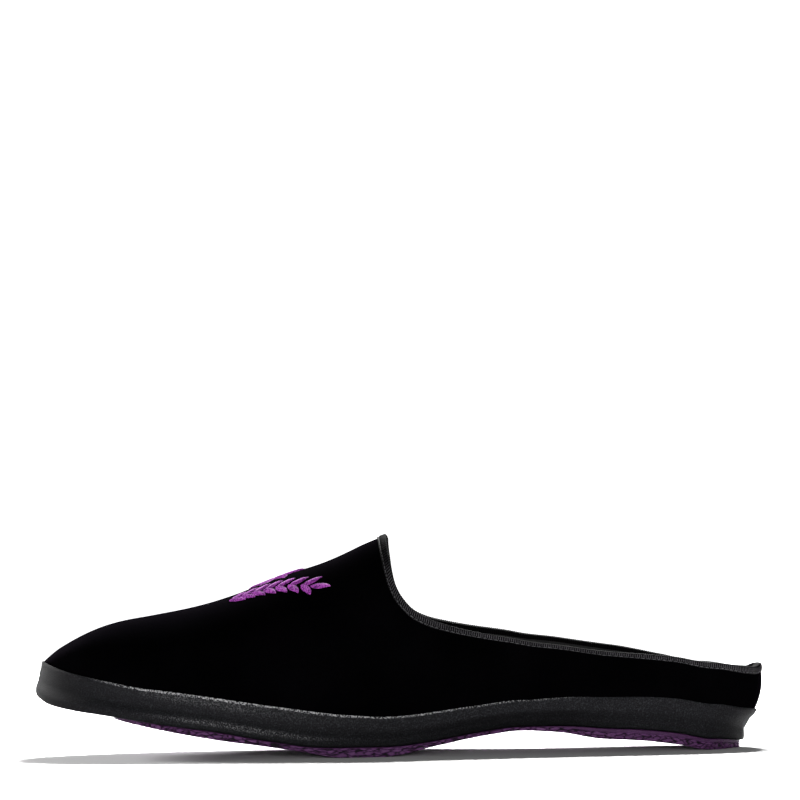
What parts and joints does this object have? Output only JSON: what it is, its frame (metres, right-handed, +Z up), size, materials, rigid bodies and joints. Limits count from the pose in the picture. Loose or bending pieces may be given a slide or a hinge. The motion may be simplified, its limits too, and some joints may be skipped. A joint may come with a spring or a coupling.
{
  "type": "mule",
  "caption": "Low slip-on velvet mule for the left foot, with a closed toe, low open heel, ribbed collar binding and a banded rubber sole.",
  "frame": {"origin": "on the floor, under the middle of the shoe's box", "axes": "+X along the foot from toe to heel, -Y towards the outer (lateral) side of the left shoe, +Z up"},
  "size_m": [0.2848, 0.1, 0.0846],
  "materials": {
    "velvet": "black velvet with a faint sheen",
    "ribbon": "black ribbed ribbon",
    "lining": "black leather",
    "band_rubber": "black pebbled rubber",
    "purple_rubber": "dark purple crinkled rubber",
    "thread": "glossy purple embroidery thread"
  },
  "bodies": {
    "root": {"upper": "velvet", "collar_binding": "ribbon", "insole": "lining", "sole_band": "band_rubber", "outsole": "purple_rubber"}
  },
  "joints": []
}
